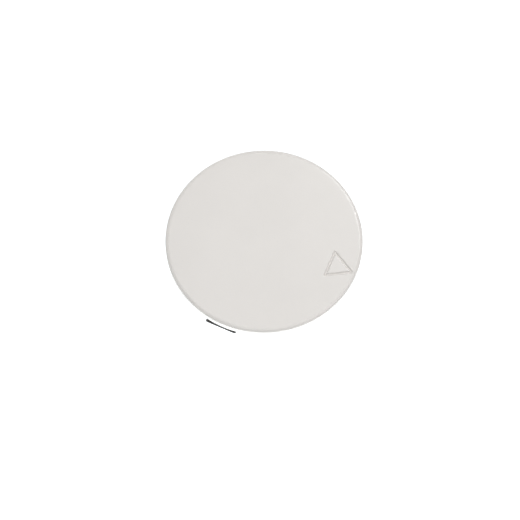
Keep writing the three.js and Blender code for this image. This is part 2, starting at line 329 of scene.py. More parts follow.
class Nodes:
    """Adds shader nodes to a tree."""

    def __init__(self, tree):
        self.tree = tree

    def node(self, kind, inputs=None, **settings):
        """A new shader node with those settings, and constants or links in those inputs."""
        node = self.tree.nodes.new(kind)
        for name, value in settings.items():
            setattr(node, name, value)
        for key, value in (inputs or {}).items():
            self.feed(node.inputs[key], value)
        return node

    def feed(self, socket, value):
        """Links a socket to another one, or gives it a constant."""
        if isinstance(value, bpy.types.NodeSocket):
            self.tree.links.new(value, socket)
        else:
            socket.default_value = value

    def vector(self, operation, *values, **named):
        """A vector operation's result, which is a number for LENGTH."""
        inputs = {**dict(enumerate(values)), **named}
        node = self.node("ShaderNodeVectorMath", inputs, operation=operation)
        return node.outputs["Value" if operation == "LENGTH" else "Vector"]

    def math(self, operation, first, second):
        """The result of an operation on two numbers."""
        return self.node("ShaderNodeMath", {0: first, 1: second}, operation=operation).outputs[0]

    def between(self, factor, low, high, start=0.3, end=0.7):
        """Maps a factor from start..end to low..high."""
        inputs = {"Value": factor, "From Min": start, "From Max": end, "To Min": low, "To Max": high}
        return self.node("ShaderNodeMapRange", inputs, interpolation_type="SMOOTHSTEP").outputs["Result"]

    def mix(self, factor, first, second):
        """The first colour at factor 0, the second at factor 1."""
        inputs = {"Factor": factor, 6: first, 7: second}
        return self.node("ShaderNodeMix", inputs, data_type="RGBA").outputs[2]


class Look(Nodes):
    """A Principled material whose colour, roughness and height come from noises in millimetres."""

    def __init__(self, slot, **sockets):
        self.material = bpy.data.materials.new(slot + "_look")
        self.material["slot"] = slot
        self.material.use_nodes = True
        super().__init__(self.material.node_tree)
        self.shader = self.tree.nodes["Principled BSDF"]
        for name, value in sockets.items():
            self.feed(self.shader.inputs[name.replace("_", " ")], value)
        place = self.node("ShaderNodeTexCoord").outputs["Object"]
        self.place = self.vector("SCALE", place, Scale=1 / MM)
        self.normal = None

    def lathe_place(self, x=0):
        """Coordinates of distance from an upright axis and height, for marks that run round it."""
        from_axis = self.vector("SUBTRACT", self.place, (x, 0, 0))
        flat = self.vector("MULTIPLY", from_axis, (1, 1, 0))
        height = self.node("ShaderNodeSeparateXYZ", {0: self.place}).outputs["Z"]
        pair = {"X": self.vector("LENGTH", flat), "Y": height}
        return self.node("ShaderNodeCombineXYZ", pair).outputs[0]

    def noise(self, per_mm, detail=2, stretch=(1, 1, 1), place=None, rough=0.5):
        """A cloudy factor from 0 to 1."""
        vector = self.vector("MULTIPLY", place or self.place, stretch)
        inputs = {"Vector": vector, "Scale": per_mm, "Detail": detail, "Roughness": rough}
        return self.node("ShaderNodeTexNoise", inputs).outputs["Fac"]

    def cells(self, per_mm):
        """Distance from the middle of the nearest crystal."""
        inputs = {"Vector": self.place, "Scale": per_mm}
        return self.node("ShaderNodeTexVoronoi", inputs).outputs["Distance"]

    def edges(self):
        """1 on worn convex edges, 0 elsewhere."""
        flat, sharp = 0.505, 0.56
        return self.between(self.node("ShaderNodeNewGeometry").outputs["Pointiness"], 0, 1, flat, sharp)

    def colour(self, value):
        """Sets the base colour."""
        self.feed(self.shader.inputs["Base Color"], value)

    def rubbed(self, value, edge):
        """Sets the base colour, with another one on worn edges."""
        self.colour(self.mix(self.edges(), value, edge))

    def roughness(self, value):
        """Sets the roughness."""
        self.feed(self.shader.inputs["Roughness"], value)

    def dulled(self, factor, low, high, other, more):
        """Sets the roughness from one factor, with up to that much more from another."""
        self.roughness(self.math("ADD", self.between(factor, low, high), self.between(other, 0, more)))

    def bump(self, height, millimetres):
        """Raises the surface by up to that much. Calls add up."""
        inputs = {"Strength": 1, "Distance": millimetres * MM, "Height": height}
        if self.normal:
            inputs["Normal"] = self.normal
        self.normal = self.node("ShaderNodeBump", inputs).outputs["Normal"]
        self.feed(self.shader.inputs["Normal"], self.normal)


def painted_cover():
    """Warm white satin paint with a faint orange peel under a thin gloss."""
    look = Look("cover_white", Specular_IOR_Level=0.35, Coat_Weight=0.6, Coat_Roughness=0.15)
    tone = look.noise(0.035, detail=3)
    speckle = look.noise(2.2, detail=3)
    base = look.mix(look.between(tone, 0, 1, 0.35, 0.65), linear(232, 227, 222), linear(234, 229, 224))
    look.colour(look.mix(look.between(speckle, 0, 0.35, 0.6, 0.8), base, linear(214, 210, 205)))
    look.roughness(look.between(look.noise(0.5), 0.46, 0.56))
    look.bump(look.noise(1.1, detail=1), 0.012)
    look.bump(look.noise(6, detail=2), 0.004)
    return look.material


def phosphated_steel():
    """Matte, almost black steel with a fine crystal grain and paler edges."""
    look = Look("ear_steel", Metallic=0.75)
    grain = look.cells(9)
    cloud = look.noise(0.35, detail=4)
    base = look.mix(look.between(cloud, 0, 1), linear(66, 66, 68), linear(92, 92, 94))
    base = look.mix(look.between(grain, 0, 0.4, 0.3, 0.7), base, linear(112, 112, 114))
    look.rubbed(base, linear(150, 150, 150))
    look.roughness(look.between(cloud, 0.45, 0.62))
    look.bump(grain, 0.01)
    return look.material


def rolled_brass():
    """Bright sheet or turned brass with fine rings, light tarnish and rubbed edges."""
    look = Look("retainer_brass", Metallic=1.0)
    rings = look.noise(7, detail=2, place=look.lathe_place())
    tarnish = look.noise(0.22, detail=5, rough=0.6)
    base = look.mix(look.between(tarnish, 0, 1, 0.35, 0.68), linear(200, 173, 116), linear(178, 148, 92))
    base = look.mix(look.between(look.noise(1.6, detail=4), 0, 0.5, 0.6, 0.75), base, linear(152, 124, 78))
    look.rubbed(base, linear(226, 204, 150))
    look.dulled(rings, 0.2, 0.3, tarnish, 0.14)
    look.bump(rings, 0.004)
    return look.material


def cast_brass():
    """Cast and machined brass: a sandy skin, darker in the hollows."""
    look = Look("body_brass", Metallic=1.0)
    sand = look.noise(3.2, detail=3)
    rings = look.noise(5, detail=2, place=look.lathe_place())
    stain = look.noise(0.18, detail=5, rough=0.6)
    base = look.mix(look.between(stain, 0, 1), linear(192, 164, 110), linear(168, 138, 90))
    base = look.mix(look.between(sand, 0, 0.45, 0.58, 0.75), base, linear(140, 112, 72))
    look.rubbed(base, linear(224, 194, 130))
    look.dulled(sand, 0.26, 0.36, stain, 0.12)
    look.bump(sand, 0.02)
    look.bump(rings, 0.008)
    return look.material


def stamped_bronze():
    """Red-brown bronze sheet with rolling marks along one way."""
    look = Look("deflector_bronze", Metallic=1.0)
    grain = look.noise(3, detail=3, stretch=(0.12, 3, 1))
    tarnish = look.noise(0.2, detail=5)
    base = look.mix(look.between(tarnish, 0, 1), linear(206, 162, 116), linear(176, 130, 90))
    look.rubbed(base, linear(226, 184, 132))
    look.dulled(grain, 0.22, 0.34, tarnish, 0.1)
    look.bump(grain, 0.006)
    return look.material


def zinc_plate():
    """Bright zinc over pressed steel: fine rings from rolling, faint drawing lines, cloudy plating."""
    look = Look("cup_zinc", Metallic=1.0)
    rings = look.noise(5, detail=3, place=look.lathe_place())
    drawn = look.noise(3, detail=3, stretch=(1, 1, 0.05))
    cloud = look.noise(0.12, detail=5, rough=0.6)
    base = look.mix(look.between(cloud, 0, 1), linear(182, 185, 189), linear(158, 161, 166))
    base = look.mix(look.between(look.noise(0.07), 0, 0.3, 0.5, 0.7), base, linear(180, 173, 150))
    base = look.mix(look.between(look.noise(2.5, detail=4), 0, 0.4, 0.62, 0.8), base, linear(128, 130, 134))
    look.rubbed(base, linear(222, 224, 226))
    look.dulled(rings, 0.2, 0.3, cloud, 0.1)
    look.bump(rings, 0.006)
    look.bump(drawn, 0.006)
    return look.material


def drawn_steel(slot, pale, dark, x=0):
    """Steel turned or drawn to a shine, with fine rings."""
    look = Look(slot, Metallic=1.0)
    rings = look.noise(9, detail=2, place=look.lathe_place(x))
    cloud = look.noise(0.5, detail=4)
    base = look.mix(look.between(cloud, 0, 1), pale, dark)
    look.rubbed(base, linear(232, 233, 235))
    look.dulled(rings, 0.14, 0.24, cloud, 0.1)
    look.bump(rings, 0.005)
    return look.material


def dull_solder():
    """Grey fusible solder with a lumpy, frosted skin."""
    look = Look("solder", Metallic=1.0)
    frost = look.noise(4, detail=4)
    look.colour(look.mix(look.between(frost, 0, 1), linear(188, 190, 194), linear(150, 152, 156)))
    look.roughness(look.between(frost, 0.32, 0.52))
    look.bump(look.noise(1.5, detail=2), 0.05)
    return look.material


def clear_glass():
    """Clear glass with faint drawing streaks."""
    look = Look("bulb_glass", Transmission_Weight=1.0, IOR=1.47)
    streak = look.noise(1.5, stretch=(1, 1, 0.1))
    look.colour(look.mix(streak, linear(252, 250, 249), linear(246, 244, 242)))
    look.roughness(look.between(streak, 0.0, 0.03))
    look.bump(streak, 0.004)
    return look.material


def red_liquid():
    """Dyed red liquid, a little denser in places."""
    look = Look("bulb_liquid", Specular_IOR_Level=0.2)
    dye = look.noise(0.4, detail=2)
    look.colour(look.mix(look.between(dye, 0, 1), linear(206, 10, 12), linear(170, 4, 8)))
    look.roughness(look.between(dye, 0.06, 0.12))
    return look.material


# --- Cover plate and its solder ---

MARK_RADIUS = 32.1  # centre of the mark, from the centre line
MARK_ANGLE = -22.4
MARK_SIDE = 10.9
MARK_CORNER = MARK_SIDE / math.sqrt(3)  # from the mark's centre to each corner
MARK_TURN = 6.9
MARK_HALF_WIDTH = 0.7
MARK_DEPTH = 0.55

EDGE_ACROSS = 1.8  # the rounded edge, along the radius and down the rim
EDGE_DOWN = 1.2
RIM_WALL = 0.8
RIM_FILLET = 1.0
RIM_LIP = 0.2


def mark_corners():
    """Corners of the engraved triangle's centre line."""
    centre = turned_by([(MARK_RADIUS, 0)], MARK_ANGLE)[0]
    corners = arc(0, 0, MARK_CORNER, MARK_CORNER, 90 + MARK_TURN, 450 + MARK_TURN, 3)[:-1]
    return [centre + Vector(corner) for corner in corners]


def distance_to_edge(point, start, end):
    """Distance from a point to a straight edge."""
    along = end - start
    t = min(max((point - start).dot(along) / along.length_squared, 0), 1)
    return (point - start - along * t).length


def shoulder(x, y, across, down):
    """A rounded edge, from flat to upright, that starts to turn more gently than an ellipse."""
    steps, power = 24, 2.2
    points = []
    for i in range(steps + 1):
        turn = math.radians(90 - 90 * i / steps)
        points.append((x + across * math.cos(turn) ** (2 / power), y + down * math.sin(turn) ** (2 / power)))
    return points


def cover_angles():
    """Angles round the plate: close together across the mark, wider apart elsewhere."""
    near, fine_step, coarse_step = 13.5, 0.2, 2
    far = 360 - 2 * near
    fine = [MARK_ANGLE - near + fine_step * i for i in range(round(2 * near / fine_step) + 1)]
    count = int(far / coarse_step)
    coarse = [MARK_ANGLE + near + far * i / count for i in range(1, count)]
    return [math.radians(a) for a in fine + coarse]


def cover_face():
    """Profile of the face: few rows inside the mark, close rows across it, then the rounded edge."""
    flat_end = COVER_R - EDGE_ACROSS
    margin, row = 1.2, 0.12
    mark_start = MARK_RADIUS - MARK_CORNER - margin
    rows = int((flat_end - mark_start) / row)
    face = [(0, FACE_Z), (mark_start / 2, FACE_Z)]
    face += [(mark_start + (flat_end - mark_start) * i / rows, FACE_Z) for i in range(rows)]
    return face + shoulder(flat_end, FACE_Z - EDGE_DOWN, EDGE_ACROSS, EDGE_DOWN)


def cover_rim(start):
    """Profile of the rim and the back, from the end of the rounded edge to the centre line."""
    inner = COVER_R - RIM_WALL
    lip_z = COVER_LOW.z + RIM_LIP
    rim = [start, (COVER_R, lip_z)]
    rim += arc(COVER_R - RIM_LIP, lip_z, RIM_LIP, RIM_LIP, 0, -90, 4)
    rim += arc(inner + RIM_LIP, lip_z, RIM_LIP, RIM_LIP, -90, -180, 4)
    rim += arc(inner - RIM_FILLET, BACK_Z - RIM_FILLET, RIM_FILLET, RIM_FILLET, 0, 90, 6)
    return rim + [(0, BACK_Z)]


def cover_plate(look):
    """Pressed plate with a rounded edge, a short rim and an engraved triangle."""
    corners = mark_corners()
    edges = list(zip(corners, corners[1:] + corners[:1]))

    def engraved(radius, angle, z):
        point = Vector((radius * math.cos(angle), radius * math.sin(angle)))
        away = min(distance_to_edge(point, a, b) for a, b in edges)
        return radius, z - MARK_DEPTH * (1 - smooth(away / MARK_HALF_WIDTH))

    face = cover_face()
    bm = bmesh.new()
    revolve(bm, face, cover_angles(), engraved)
    revolve(bm, cover_rim(face[-1]), cover_angles())
    return piece("cover_plate", bm, look, "cover", SOFT_CREASE)


def solder_pads(look):
    """Three dabs of solder, pressed flat and uneven round their edge."""
    for i in range(3):
        node = f"solder_pad_{i + 1}"
        low, high = span(node)
        middle = (low + high) / 2
        radius = (high.x - low.x) / 2
        waist = radius * 0.9
        profile = [(0, low.z), (radius, low.z), (waist, middle.z), (radius, high.z), (0, high.z)]

        def spread(r, angle, z, phase=i):
            return r * (0.93 + 0.05 * math.sin(3 * angle + phase) + 0.02 * math.sin(7 * angle)), z

        turned_piece(node, softened(profile, 0.1), look, "cover", 48, middle.x, middle.y, spread)


# --- Retainer: sleeve, feet and stand-off ears ---

SLEEVE_LOW = 26.0
SLEEVE_TOP = 55.5
DIMPLE_Z = 29.0
DIMPLE_R = 1.9
DIMPLE_PROUD = 0.4

FOOT_REACH = 33.0
FOOT_WIDTH = 9.0
FOOT_THICK = 0.75
FOOT_CORNER = 1.2
FOOT_BEND = 0.8

EAR_REACH = 39.2
EAR_WIDTH = 13.4
EAR_THICK = 0.8
EAR_CORNER = 0.6
EAR_BEND = 0.9
EAR_OFFSET = -2.0  # the ear's middle, to one side of the line from the centre
EAR_GAP = 0.3  # between the ear's root and the sleeve

STRIP_EDGE = 0.12


def bent_strip(bm, path, thickness, width, corner, hug, offset=0):
    """Adds a bent sheet-metal strip: path is (radius, z), hug the radius that its root lies round."""
    total = sum((Vector(b) - Vector(a)).length for a, b in zip(path, path[1:]))
    travelled = 0
    loops = []
    for i, point in enumerate(path):
        here = Vector(point)
        out = normal_of(path, i)
        if i:
            travelled += (here - Vector(path[i - 1])).length
        left = max(corner - (total - travelled), 0)
        half = width / 2 - corner + math.sqrt(max(corner ** 2 - left ** 2, 0))
        flatness = smooth(2 * travelled / total - 0.3)
        loop = []
        for side, level in strip_section(half, thickness / 2):
            y = side + offset
            sag = (math.sqrt(hug ** 2 - y ** 2) - hug) * (1 - flatness)
            spot = here + out * level
            loop.append((spot.x + sag, y, spot.y))
        loops.append(loop)
    loft(bm, loops)


def strip_section(half, level):
    """Cross-section of a strip: a rectangle with rounded corners and points along its flats."""
    flats = 12
    run = half - STRIP_EDGE
    rise = level - STRIP_EDGE
    section = []
    for start, x, y in ((-90, 1, -1), (0, 1, 1), (90, -1, 1), (180, -1, -1)):
        section += arc(x * run, y * rise, STRIP_EDGE, STRIP_EDGE, start, start + 90, 3)
        if y * x > 0:
            section += [(x * run * (1 - 2 * k / flats), y * level) for k in range(1, flats)]
    return section


def strip_path(root, low, top, bend, reach, corner):
    """Up along the sleeve, round a bend and out to a tip whose steps close up for its corners."""
    up_steps, out_steps, tip_steps = 4, 8, 10
    flat = root + bend
    length = reach - corner - flat
    path = [(root, low + (top - bend - low) * i / up_steps) for i in range(up_steps)]
    path += arc(flat, top - bend, bend, bend, 180, 90, 6)
    path += [(flat + length * i / out_steps, top) for i in range(1, out_steps)]
    for i in range(tip_steps + 1):
        path.append((reach - corner + corner * math.sin(math.radians(90 / tip_steps * i)), top))
    return path


def strip_object(name, degrees, *strip):
    """A bent strip turned about the centre line."""
    bm = bmesh.new()
    bent_strip(bm, *strip)
    turn = Matrix.Rotation(math.radians(degrees), 3, "Z")
    bmesh.ops.rotate(bm, matrix=turn, verts=bm.verts)
    return solid(name, bm)


def standoff_ears(look):
    """Three bent steel ears on the sleeve."""
    low, high = span("standoff_ear_1")
    root = SLEEVE_OUTER + EAR_GAP + EAR_THICK / 2
    path = strip_path(root, low.z, high.z - EAR_THICK / 2, EAR_BEND, EAR_REACH, EAR_CORNER)
    strip = (path, EAR_THICK, EAR_WIDTH, EAR_CORNER, SLEEVE_OUTER, EAR_OFFSET)
    for i in range(3):
        node = f"standoff_ear_{i + 1}"
        ear = strip_object(node + "_detail", EAR_ANGLE + 120 * i, *strip)
        finish(ear, look, "retainer_assembly", node)


def slot_cutter():
    """Six upright slots with round ends, to be cut through the sleeve."""
    width, low, high = 3.6, 31, 45
    half = width / 2
    outline = arc(0, high - half, half, half, 0, 180, 12) + arc(0, low + half, half, half, 180, 360, 12)
    bm = bmesh.new()
    for i in range(6):
        angle = math.radians(EAR_ANGLE + 30 + 60 * i)
        out = Vector((math.cos(angle), math.sin(angle), 0))
        side = Vector((-math.sin(angle), math.cos(angle), 0))
        loops = []
        for r in (SLEEVE_INNER - 2, SLEEVE_OUTER + 2):
            loops.append([out * r + side * u + Vector((0, 0, v)) for u, v in outline])
        loft(bm, loops)
    return solid("slot_cutter", bm)


def sleeve_wall():
    """Closed profile of the sleeve. Its rows stand close together across the dimples."""
    lip_across, lip_up = 0.25, 0.15
    heights = [SLEEVE_LOW + lip_up] + [DIMPLE_Z - 2 + 0.33 * i for i in range(13)]
    heights += [31.5, 38, 44, 50, SLEEVE_TOP - lip_up]
    wall = [(SLEEVE_OUTER, z) for z in heights] + [(SLEEVE_OUTER - lip_across, SLEEVE_TOP)]
    wall += [(SLEEVE_INNER + lip_across, SLEEVE_TOP)] + [(SLEEVE_INNER, z) for z in reversed(heights)]
    return wall + [(SLEEVE_INNER + lip_across, SLEEVE_LOW), (SLEEVE_OUTER - lip_across, SLEEVE_LOW)]


def dimpled(radius, angle, z):
    """Pushes the sleeve's wall out at six dimples, which run in the cup's thread."""
    dimples = [math.radians(EAR_ANGLE + 60 * i) for i in range(6)]
    nearest = min(abs((angle - d + math.pi) % TURN - math.pi) for d in dimples)
    away = math.hypot(nearest * radius, z - DIMPLE_Z)
    return radius + DIMPLE_PROUD * (1 - smooth(away / DIMPLE_R)), z


def retainer(look):
    """Thin sleeve with slots, dimples and three feet bent outwards at its top."""
    bm = bmesh.new()
    revolve(bm, sleeve_wall(), even_angles(288), dimpled, closed=True)
    sleeve = solid("retainer_detail", bm)
    combine(sleeve, slot_cutter())
    root = (SLEEVE_INNER + SLEEVE_OUTER) / 2
    top = FOOT_TOP - FOOT_THICK / 2
    path = strip_path(root, SLEEVE_TOP - 1.5, top, FOOT_BEND, FOOT_REACH, FOOT_CORNER)
    strip = (path, FOOT_THICK, FOOT_WIDTH, FOOT_CORNER, root)
    for i in range(3):
        combine(sleeve, strip_object("foot", FOOT_ANGLE + 120 * i, *strip), "UNION")
    return finish(sleeve, look, "retainer_assembly", "retainer")


# --- Support cup and its lock ring ---

CUP_PITCH = 3.2
CUP_ROOT_R = CUP_R - 0.38
CUP_THREAD_LOW = 28.5
CUP_THREAD_HIGH = 43.5
CUP_CORNER = 6


def cup_thread(angle, z, wall=0):
    """Radius of the thread rolled into the cup's wall, which fades out at both ends."""
    fade = smooth((z - CUP_THREAD_LOW) / 2.5) * smooth((CUP_THREAD_HIGH - z) / 2.5)
    wave = 0.5 + 0.5 * math.cos(TURN * (z / CUP_PITCH - angle / TURN))
    return CUP_ROOT_R + (CUP_R - CUP_ROOT_R) * fade * smooth(wave) - wall


def cup_outside():
    """Profile from the hole in the floor, round the corner and up to the thread."""
    outside = [(CUP_HOLE, CUP_LOW.z + 0.2), (CUP_HOLE + 0.2, CUP_LOW.z)]
    outside += arc(CUP_ROOT_R - CUP_CORNER, CUP_LOW.z + CUP_CORNER, CUP_CORNER, CUP_CORNER, -90, 0, 14)
    return outside + [(CUP_ROOT_R, CUP_THREAD_LOW)]


def cup_bead():
    """Profile over the rolled bead at the cup's mouth, from thread to thread."""
    inner = CUP_ROOT_R - CUP_WALL
    bead = [(CUP_ROOT_R, CUP_THREAD_HIGH), (CUP_ROOT_R, CUP_HIGH.z - 1.8)]
    bead += arc(CUP_R - 0.55, CUP_HIGH.z - 0.75, 0.55, 0.75, -30, 90, 8)
    return bead + [(inner + 0.25, CUP_HIGH.z), (inner, CUP_HIGH.z - 0.25), (inner, CUP_THREAD_HIGH)]


def cup_inside():
    """Profile from the thread down and across the floor to the hole."""
    corner = CUP_CORNER - CUP_WALL
    inside = [(CUP_ROOT_R - CUP_WALL, CUP_THREAD_LOW)]
    inside += arc(CUP_ROOT_R - CUP_CORNER, CUP_FLOOR + corner, corner, corner, 0, -90, 14)
    inside += [(CUP_HOLE + 0.2, CUP_FLOOR), (CUP_HOLE, CUP_FLOOR - 0.2)]
    return inside + [(CUP_HOLE, CUP_LOW.z + 0.2)]


def support_cup(look):
    """Pressed cup with a thread rolled into its wall."""
    segments, per_pitch = 160, 12
    thread = (CUP_THREAD_LOW, CUP_THREAD_HIGH, CUP_PITCH, segments, per_pitch)
    angles = even_angles(segments)
    bm = bmesh.new()
    revolve(bm, cup_outside(), angles)
    helical_wall(bm, cup_thread, *thread)
    revolve(bm, cup_bead(), angles)
    helical_wall(bm, lambda angle, z: cup_thread(angle, z, CUP_WALL), *thread)
    revolve(bm, cup_inside(), angles)
    cup = solid("support_cup_detail", bm)
    combine(cup, vent_cutter())
    return finish(cup, look, "head", "support_cup")


def vent_cutter():
    """Four curved slots with round ends, to be cut through the cup's floor."""
    inner, outer, half_angle = 17.6, 21.0, 24
    middle = (inner + outer) / 2
    end = (outer - inner) / 2
    turn = half_angle - math.degrees(end / middle)
    outline = arc(0, 0, outer, outer, -turn, turn, 16)
    outline += turned_by(arc(middle, 0, end, end, 0, 180, 10)[1:-1], turn)
    outline += arc(0, 0, inner, inner, turn, -turn, 16)
    outline += turned_by(arc(middle, 0, end, end, 180, 360, 10)[1:-1], -turn)
    bm = bmesh.new()
    for i in range(4):
        loop = turned_by(outline, 45 + 90 * i)
        loft(bm, [[(*p, z) for p in loop] for z in (CUP_LOW.z - 1, CUP_FLOOR + 1)])
    return solid("vent_cutter", bm)


def lock_ring(look):
    """Push-on ring whose six teeth are bent up to bite the collar."""
    low, high = span("cup_lock_ring")
    inner, notch, bend, thickness = 12.6, 14.2, 14.6, 0.7
    notch_half_angle, taper = 4.6, 0.6
    hole = []
    for i in range(6):
        start = 60 * i
        hole += arc(0, 0, inner, inner, start - 30 + notch_half_angle, start + 30 - notch_half_angle, 10)
        first = start + 30 - notch_half_angle + taper
        last = start + 30 + notch_half_angle - taper
        hole += arc(0, 0, notch, notch, first, last, 4)
    bm = bmesh.new()
    plate(bm, circle(0, 0, high.x, 96), [hole[::-1]], low.z, low.z + thickness, 0.15)
    lift = high.z - low.z - thickness
    for vert in bm.verts:
        radius = math.hypot(vert.co.x, vert.co.y)
        vert.co.z += lift * smooth((bend - radius) / 2)
    return piece("cup_lock_ring", bm, look, "head")


# --- Sprinkler body ---

HEX_FLATS = 27.0
HEX_CORNER = HEX_FLATS / math.sqrt(3)
HEX_LOW = 14.5
THREAD_PITCH = 25.4 / 14
THREAD_DEPTH = 1.2
THREAD_R = 10.35
THREAD_TAPER = 1 / 32
THREAD_LOW = 0.35
THREAD_HIGH = 13.4
THREAD_FADE = 11.2  # where the thread starts to run out


def chamfer_radius(z):
    """Radius of the chamfer at the start of the pipe thread."""
    return THREAD_R - 1.0 + 1.1 * z


def pipe_thread(angle, z):
    """Radius of the taper pipe thread, chamfered at its start and running out before the hexagon."""
    crest = THREAD_R + z * THREAD_TAPER
    phase = (z / THREAD_PITCH - angle / TURN) % 1
    valley = min(max(1.25 * (1 - abs(2 * phase - 1)) - 0.12, 0), 1)
    depth = THREAD_DEPTH * valley * (1 - smooth((z - THREAD_FADE) / 2))
    return min(crest - depth, chamfer_radius(z))


def nut_shape(radius, angle, z):
    """Trims a round blank to a hexagon with rounded corners and a chamfered lower face."""
    trimmed = min(radius, hexagon_radius(angle, HEX_FLATS), HEX_FLATS / 2 / math.cos(TURN / 13))
    return min(trimmed, HEX_FLATS / 2 - 0.1 + (z - HEX_LOW) * 1.73), z


def frame_arm(side):
    """One cast arm, flared at its foot, with a tenon that passes through the bar."""
    stations = (
        (COLLAR_TOP - 0.4, 2.4, 3.3), (COLLAR_TOP + 0.1, 2.25, 3.1), (COLLAR_TOP + 0.8, 1.95, 2.75),
        (COLLAR_TOP + 2.0, ARM_HALF_X, ARM_HALF_Y), (35, 1.7, 2.35),
        (BAR_LOW.z - 1.2, ARM_HALF_X, ARM_HALF_Y), (BAR_LOW.z, ARM_HALF_X, ARM_HALF_Y),
        (BAR_LOW.z + 0.02, 1.15, 1.75), (BAR_HIGH.z - 0.25, 1.15, 1.75), (BAR_HIGH.z, 0.95, 1.5),
    )
    squareness = 0.4
    loops = []
    for z, half_x, half_y in stations:
        loop = []
        for angle in even_angles(40):
            c, s = math.cos(angle), math.sin(angle)
            x = half_x * math.copysign(abs(c) ** squareness, c)
            y = half_y * math.copysign(abs(s) ** squareness, s)
            loop.append((side * ARM_X + x, y, z))
        loops.append(loop)
    bm = bmesh.new()
    loft(bm, loops)
    return solid("frame_arm", bm)


def body_inlet():
    """Profile from the seat, down the waterway and round the inlet's end to the thread."""
    start = (chamfer_radius(THREAD_LOW), THREAD_LOW)
    inlet = softened([
        (0, SEAT_TOP), (ORIFICE_R, SEAT_TOP, 0.25), (ORIFICE_R, 17), (6.35, 13), (6.35, 0.8),
        (7.1, 0, 0.1), (THREAD_R - 1.1, 0, 0.1), (*start, 0),
    ], 0.3)
    return inlet[1:-1] + [start]


def body_nut():
    """Profile of the hexagon's blank, from its chamfered lower face to its top."""
    nut = [(HEX_FLATS / 2 - 0.4, HEX_LOW)]
    nut += [(HEX_CORNER, HEX_LOW + 0.05 + 0.15 * i) for i in range(10)]
    return nut + [(HEX_CORNER, CUP_LOW.z - 0.25), (HEX_CORNER - 0.25, CUP_LOW.z)]


def body_collar():
    """Profile of the collar that the cup is clamped on, up to the seat."""
    return softened([
        (0, CUP_LOW.z), (COLLAR_R, CUP_LOW.z, 0), (COLLAR_R, COLLAR_TOP, 0.6), (8.3, COLLAR_TOP, 0.4),
        (7.4, SEAT_TOP, 0.2), (ORIFICE_R, SEAT_TOP, 0.25), (0, SEAT_TOP),
    ], 0.2)[1:-1]


def lead_in(radius, angle, z):
    """Moves the inlet profile's last point onto the thread, so that the two meet without a gap."""
    return (pipe_thread(angle, z) if z == THREAD_LOW else radius), z


def sprinkler_body(look):
    """Cast body: waterway, taper thread, hexagon, collar, seat and two arms."""
    segments, per_pitch = 144, 14
    angles = even_angles(segments)
    run_out = THREAD_R + THREAD_HIGH * THREAD_TAPER
    neck = [(run_out, THREAD_HIGH), (run_out, HEX_LOW - 0.3), (run_out + 0.3, HEX_LOW)]
    nut = body_nut()
    collar = body_collar()
    bm = bmesh.new()
    revolve(bm, body_inlet(), angles, lead_in)
    helical_wall(bm, pipe_thread, THREAD_LOW, THREAD_HIGH, THREAD_PITCH, segments, per_pitch)
    revolve(bm, neck, angles)
    revolve(bm, [neck[-1], nut[0]], angles)
    revolve(bm, nut, angles, nut_shape)
    revolve(bm, [nut[-1], collar[0]], angles, nut_shape)
    revolve(bm, collar, angles)
    body = solid("sprinkler_body_detail", bm)
    for side in (1, -1):
        combine(body, frame_arm(side), "UNION")
    return finish(body, look, "head", "sprinkler_body")


# --- Bar, load screw, bulb and what the bulb holds shut ---

def mortise(side):
    """Outline of the hole that an arm's tenon passes through."""
    loop = []
    corner = 0.5
    for start, x, y in ((0, 1, 1), (90, -1, 1), (180, -1, -1), (270, 1, -1)):
        loop += arc(side * ARM_X + x * 0.85, y * 1.4, corner, corner, start, start + 90, 4)
    return loop


def guide_pin_housing(look):
    """Bar across the arms' ends, with round ends and a round boss for the load screw."""
    half = 4.0
    cap_x = BAR_HIGH.x - half
    boss = BAR_HIGH.y
    lap = math.degrees(math.asin(half / boss))
    outline = arc(cap_x, 0, half, half, -90, 90, 20)
    outline += arc(0, 0, boss, boss, lap, 180 - lap, 20)
    outline += arc(-cap_x, 0, half, half, 90, 270, 20)
    outline += arc(0, 0, boss, boss, 180 + lap, 360 - lap, 20)
    screw_hole, slip = 2.75, 0.2
    holes = [circle(0, 0, screw_hole, 40)[::-1]]
    for side in (1, -1):
        holes.append(circle(side * PIN_X, 0, PIN_R + slip, 32)[::-1])
        holes.append(mortise(side)[::-1])
    bm = bmesh.new()
    plate(bm, outline, holes, BAR_LOW.z, BAR_HIGH.z, 0.28)
    return piece("guide_pin_housing", bm, look, "head")


def load_screw(look):
    """Screw with a hexagon socket on top and a cone below that holds the bulb's end."""
    radius = SCREW_HIGH.x
    socket = 1.35
    bottom = SCREW_HIGH.z - 2.2
    seat = BULB_HIGH.x + 0.3
    profile = [
        (0, SCREW_LOW.z + 1.2), (0.6, SCREW_LOW.z + 1.2), (seat, SCREW_LOW.z + 0.1),
        (radius - 0.4, SCREW_LOW.z), (radius, SCREW_LOW.z + 0.4), (radius, SCREW_HIGH.z - 0.35, 0.1),
        (radius - 0.35, SCREW_HIGH.z, 0.1), (socket + 0.25, SCREW_HIGH.z, 0),
        (socket, SCREW_HIGH.z - 0.2, 0), (socket, bottom, 0), (0, bottom - 0.4),
    ]

    def key_shape(r, angle, z):
        inside = r <= socket + 1e-6 and z >= bottom - 0.01
        return (hexagon_radius(angle, 2 * socket * 0.9) if inside else r), z

    return turned_piece("load_screw", softened(profile, 0.12), look, "head", 60, shape=key_shape)


